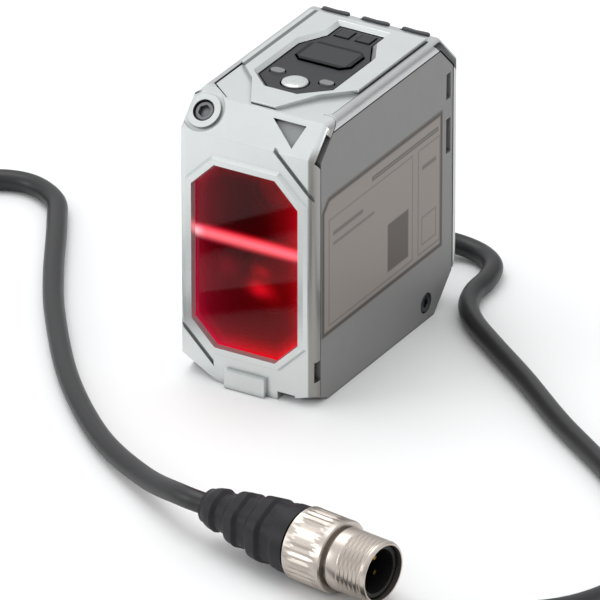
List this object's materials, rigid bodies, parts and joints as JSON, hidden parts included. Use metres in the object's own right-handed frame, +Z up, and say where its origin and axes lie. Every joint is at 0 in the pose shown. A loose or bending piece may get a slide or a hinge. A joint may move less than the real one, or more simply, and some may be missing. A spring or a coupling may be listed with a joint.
{
  "type": "laser photoelectric sensor",
  "caption": "Laser photoelectric sensor: metal housing with red front window, display panel with keys on top, and a pigtail cable that ends in a round plug connector.",
  "frame": {"origin": "under the middle of the sensor body, on the flat underside", "axes": "+Z up, the front window faces -Y, +X to the right seen from the front"},
  "size_m": [0.204, 0.1831, 0.061],
  "materials": {
    "die_cast_metal": "satin die-cast, thin clear coat",
    "side_cover_metal": "matt grey paint",
    "bezel_metal": "bright satin plating",
    "screw_steel": "turned steel",
    "red_filter": "clear red filter",
    "black_plastic": "matt moulded",
    "dark_panel": "matt moulded",
    "smoked_lens": "smoked clear plastic",
    "silver_key": "silver coated",
    "grey_key": "matt moulded",
    "seal_rubber": "matt rubber",
    "clear_glass": "polished",
    "brass": "turned brass",
    "gold_pin": "gold plated",
    "circuit_board": "solder resist",
    "chip_black": "moulded package",
    "cable_jacket": "smooth jacket",
    "boot_plastic": "soft moulded plastic",
    "nickel_brass": "nickel plated"
  },
  "bodies": {
    "sensor": {"main_housing": "die_cast_metal", "side_cover": "side_cover_metal", "side_cover_screw": "screw_steel", "front_bezel": "bezel_metal", "bezel_screw": "screw_steel", "front_window": "red_filter", "window_gasket": "seal_rubber", "optics_holder": "black_plastic", "emitter_barrel": "brass", "emitter_lens": "clear_glass", "laser_diode": "gold_pin", "lens_retaining_ring": "black_plastic", "receiver_lens": "clear_glass", "receiver_board": "circuit_board", "image_sensor_chip": "chip_black", "main_circuit_board": "circuit_board", "board_screw_1": "screw_steel", "board_screw_2": "screw_steel", "board_screw_3": "screw_steel", "processor_chip": "chip_black", "supply_coil": "chip_black", "cable_header": "black_plastic", "top_cover": "bezel_metal", "panel_base": "dark_panel", "panel_gasket": "seal_rubber", "display_lens": "smoked_lens", "display_module": "chip_black", "panel_board": "circuit_board", "set_switch": "chip_black", "left_switch": "chip_black", "right_switch": "chip_black", "indicator_lens_left": "smoked_lens", "indicator_lens_right": "smoked_lens", "gland_seal": "seal_rubber", "cable_gland": "boot_plastic", "sensor_cable": "cable_jacket", "connector_boot": "boot_plastic", "connector_core": "black_plastic", "contact_pin_1": "gold_pin", "contact_pin_2": "gold_pin", "contact_pin_3": "gold_pin", "contact_pin_4": "gold_pin"},
    "set_button": {"set_button": "silver_key"},
    "left_key": {"left_key": "grey_key"},
    "right_key": {"right_key": "grey_key"},
    "coupling_nut": {"coupling_nut": "nickel_brass"}
  },
  "joints": [
    {"name": "set_button_press", "type": "slide", "parent": "sensor", "child": "set_button", "axis": [0, 0, -1], "range_m": [0, 0.0005], "stiffness_N_per_m": 400, "springref_m": -0.0015},
    {"name": "left_key_press", "type": "slide", "parent": "sensor", "child": "left_key", "axis": [0, 0, -1], "range_m": [0, 0.0005], "stiffness_N_per_m": 400, "springref_m": -0.0015},
    {"name": "right_key_press", "type": "slide", "parent": "sensor", "child": "right_key", "axis": [0, 0, -1], "range_m": [0, 0.0005], "stiffness_N_per_m": 400, "springref_m": -0.0015},
    {"name": "coupling_nut_turn", "type": "hinge", "parent": "sensor", "child": "coupling_nut", "pos_m": [0.04844, -0.08781, 0.0075], "axis": [0.9888, -0.1495, 0], "continuous": true}
  ]
}
